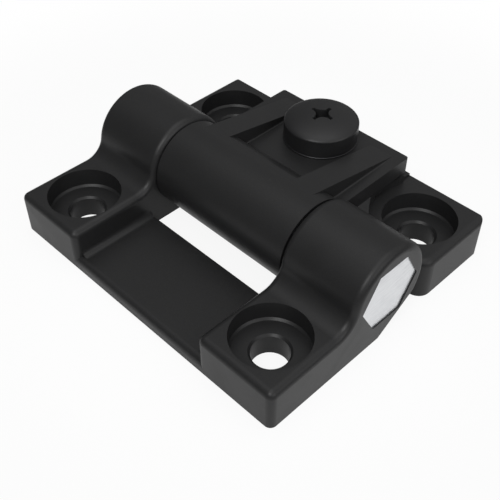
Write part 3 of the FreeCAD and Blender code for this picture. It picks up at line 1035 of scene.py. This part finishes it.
@dataclass
class Studio:
    """The pale floor with its backdrop, the soft light and the camera."""

    camera_place: Vector = field(default_factory=lambda: Vector((0.06300, -0.06250, 0.08453)))
    camera_tilt: float = math.radians(45.592)
    camera_turn: float = math.radians(45.18)
    lens: float = 58.98
    floor_radius: float = 1.2
    floor_gap: float = 0.01 * MM
    backdrop_depth: float = 0.8
    backdrop_height: float = 0.36
    backdrop_rings: int = 12
    backdrop_steps: int = 96
    floor_colour: tuple[float, float, float, float] = (0.76, 0.76, 0.76, 1.0)
    painted_falloff_colour: tuple[float, float, float, float] = (0.18, 0.18, 0.18, 1.0)
    floor_glow: float = 0.35
    floor_shade: float = 0.12
    floor_near: float = 0.025
    floor_far: float = 0.090
    sky_even: float = 0.42
    sky_right: float = 0.32
    sky_back: float = 0.09
    sky_top: float = 1.78
    sky_side: float = 1.75
    top_power: float = 8.0
    side_power: float = 10.0
    side_way: tuple[float, float, float] = (0.951, 0.0, 0.309)
    horizon: tuple[float, float] = (-0.30, 0.25)
    horizon_level: float = 0.10
    key_place: Vector = field(default_factory=lambda: Vector((0.16, -0.40, 0.44)))
    key_size: float = 0.30
    key_power: float = 1.6

    def floor_mesh(self) -> bpy.types.Mesh:
        """Build the round floor, which sweeps up all round into a low backdrop.

        The sweep is a quarter of an ellipse: outwards, it goes with the sine of the turn, and
        upwards with one minus its cosine.

        Returns:
            The mesh.
        """
        turn = np.linspace(0.0, math.pi / 2.0, self.backdrop_rings)[:, None]
        around = np.linspace(0.0, 2.0 * math.pi, self.backdrop_steps, endpoint=False)[None, :]
        radius = self.floor_radius + self.backdrop_depth * np.sin(turn)
        height = self.backdrop_height * (1.0 - np.cos(turn))
        points = np.stack([radius * np.cos(around), radius * np.sin(around),
                           np.broadcast_to(height, (len(turn), around.shape[1]))], axis=-1)
        index = np.arange(points.shape[0] * points.shape[1]).reshape(points.shape[:2])
        after = np.roll(index, -1, axis=1)
        quads = np.stack([index[:-1], index[1:], after[1:], after[:-1]], axis=-1).reshape(-1, 4)
        mesh = bpy.data.meshes.new("floor")
        mesh.from_pydata(points.reshape(-1, 3).tolist(), [], [index[0].tolist(), *quads.tolist()])
        return mesh

    def floor(self) -> None:
        """Lay a pale floor that stays white to the camera and keeps a soft shadow.

        Away from the part, its colour is painted darker and its glow in reflections fades, a
        painted falloff of light as on a table in a dim room.
        """
        ground = bpy.data.objects.new("floor", self.floor_mesh())
        ground.location.z = -self.floor_gap
        bpy.context.scene.collection.objects.link(ground)
        bench = new_material("pale_floor")
        place = bench.add(Kind.COORDINATES).outputs["Object"]
        away = bench.add(Kind.VECTOR, {0: place}, operation="LENGTH").outputs["Value"]
        # painted pool of light: near the part the floor is lighter and glows in reflections, away
        # from it darker
        near = bench.ramp(away, self.floor_near, self.floor_far, 1.0, 0.0)
        path = bench.add(Kind.LIGHT_PATH)
        mirrored = bench.math("MAXIMUM", path.outputs["Is Glossy Ray"],
                              path.outputs["Is Transmission Ray"])
        reflected = bench.math("MULTIPLY", bench.math("MULTIPLY", mirrored, near), self.floor_glow)
        shaded = bench.math("MULTIPLY", near, self.floor_shade)
        direct = bench.math("MULTIPLY", path.outputs["Is Camera Ray"],
                            bench.math("SUBTRACT", 1.0, shaded))
        glow = bench.math("MAXIMUM", direct, reflected)
        # painted falloff of light: the floor's colour darkens from pale to dim away from the part
        colour = bench.tint(near, self.painted_falloff_colour, self.floor_colour)
        matt = bench.add(Kind.DIFFUSE, {"Color": colour})
        white = bench.add(Kind.EMISSION, {"Color": (1.0, 1.0, 1.0, 1.0), "Strength": 1.0})
        both = bench.add(Kind.BLEND, {0: glow, 1: matt.outputs[0], 2: white.outputs[0]})
        bench.add(Kind.SURFACE, {"Surface": both.outputs[0]})
        dress(ground, bpy.data.materials["pale_floor"])

    def sky(self) -> None:
        """Surround the part with a soft dome, dim near the horizon and brightest overhead.

        The level grows evenly towards the right and the back. A high power of the height adds
        the overhead light, and a high power of the cosine to its way the side light.
        """
        world = bpy.data.worlds.new("studio")
        world.use_nodes = True
        bpy.context.scene.world = world
        bench = NodeBench(world.node_tree)
        way = bench.add(Kind.COORDINATES).outputs["Generated"]
        part = bench.add(Kind.SPLIT, {"Vector": way})
        up = part.outputs["Z"]
        right = bench.math("MULTIPLY", part.outputs["X"], self.sky_right)
        behind = bench.math("MULTIPLY", part.outputs["Y"], self.sky_back)
        slant = bench.math("ADD", right, behind)
        raised = bench.ramp(up, *self.horizon, self.horizon_level, 1.0)
        even = bench.math("MULTIPLY", bench.math("ADD", slant, self.sky_even), raised)
        overhead = bench.math("POWER", bench.math("MAXIMUM", up, 0.0), self.top_power)
        top = bench.math("MULTIPLY", overhead, self.sky_top)
        facing = bench.add(Kind.VECTOR, {0: way, 1: self.side_way}, operation="DOT_PRODUCT")
        ahead = bench.math("MAXIMUM", facing.outputs["Value"], 0.0)
        sideways = bench.math("POWER", ahead, self.side_power)
        side = bench.math("MULTIPLY", sideways, self.sky_side)
        level = bench.math("ADD", bench.math("ADD", even, top), side)
        back = bench.add(Kind.BACKGROUND, {"Color": (1.0, 1.0, 1.0, 1.0), "Strength": level})
        bench.add(Kind.SKY, {"Surface": back.outputs[0]})

    def lamp(self) -> None:
        """Hang a square soft lamp that faces the part."""
        light = bpy.data.lights.new("key", "AREA")
        light.size = self.key_size
        light.energy = self.key_power
        holder = bpy.data.objects.new("key", light)
        holder.location = self.key_place
        holder.rotation_euler = (-self.key_place).to_track_quat("-Z", "Y").to_euler()
        bpy.context.scene.collection.objects.link(holder)

    def camera(self) -> None:
        """Set up the camera at the photograph's angle."""
        data = bpy.data.cameras.new("camera")
        data.lens = self.lens
        data.sensor_width = 36.0
        data.clip_start = 1.0 * MM
        data.clip_end = 20.0
        viewer = bpy.data.objects.new("camera", data)
        viewer.location = self.camera_place
        viewer.rotation_euler = (self.camera_tilt, 0.0, self.camera_turn)
        bpy.context.scene.collection.objects.link(viewer)
        bpy.context.scene.camera = viewer

    def build(self) -> None:
        """Build the whole studio."""
        self.floor()
        self.sky()
        self.lamp()
        self.camera()
        bpy.context.scene.view_settings.view_transform = "Standard"


def screw_finish(effects: SurfaceEffects, centre: Vector) -> TurnedSteel:
    """Give the coated black steel of the adjusting screw."""
    return TurnedSteel(
        effects, "coated_black_steel", colour=(0.0135, 0.0135, 0.0140, 1.0),
        shade=(0.0100, 0.0100, 0.0105, 1.0), metallic=0.0, specular=0.27,
        roughness=(0.34, 0.42), centre=centre)


def spring_finish(effects: SurfaceEffects, centre: Vector) -> TurnedSteel:
    """Give the blackened steel of the disc spring."""
    return TurnedSteel(
        effects, "blackened_spring_steel", colour=(0.085, 0.085, 0.088, 1.0),
        shade=(0.05, 0.05, 0.052, 1.0), metallic=1.0, specular=0.5,
        roughness=(0.34, 0.44), centre=centre)


def nut_finish(effects: SurfaceEffects, centre: Vector) -> TurnedSteel:
    """Give the zinc-plated steel of the clamp nut."""
    return TurnedSteel(
        effects, "zinc_plated_steel", colour=(0.62, 0.62, 0.60, 1.0),
        shade=(0.50, 0.50, 0.49, 1.0), metallic=1.0, specular=0.5,
        roughness=(0.30, 0.40), centre=centre)


def main() -> None:
    """Build and dress every sub-assembly, and report each piece."""
    logging.basicConfig(level=logging.INFO, format="%(message)s")
    effects = SurfaceEffects.build()
    plastic = MouldedPlastic(effects).material()
    screw_low, screw_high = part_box("adjusting_screw")
    spring_low, spring_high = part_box("spring_washer")
    nut_low, nut_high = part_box("clamp_nut")
    pin_low, pin_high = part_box("pin_right")
    upright = (screw_low + screw_high) / 2.0
    hinge = (pin_low + pin_high) / 2.0
    screw = AdjustingScrew(
        screw_finish(effects, upright), upright, crown=screw_high.z, seat=spring_high.z,
        tip=screw_low.z, head_radius=(screw_high.x - screw_low.x) / 2.0)
    pieces = [
        *Leaves(plastic).build(),
        *RibCoves(plastic, hinge, spring_low.z).build(),
        *BarrelBack(plastic, hinge, spring_low.z).build(),
        *Shoulders(plastic, hinge, spring_low.z).build(),
        *HingePins(BareBar(effects).material()).build(),
        screw.build(),
        DiscSpring(spring_finish(effects, upright), spring_low, spring_high).build(),
        ClampNut(nut_finish(effects, upright), nut_low, nut_high).build(),
    ]
    Studio().build()
    for piece in pieces:
        LOG.info("%s: %d vertices", piece.name, len(piece.data.vertices))


if __name__ == "__main__":
    main()
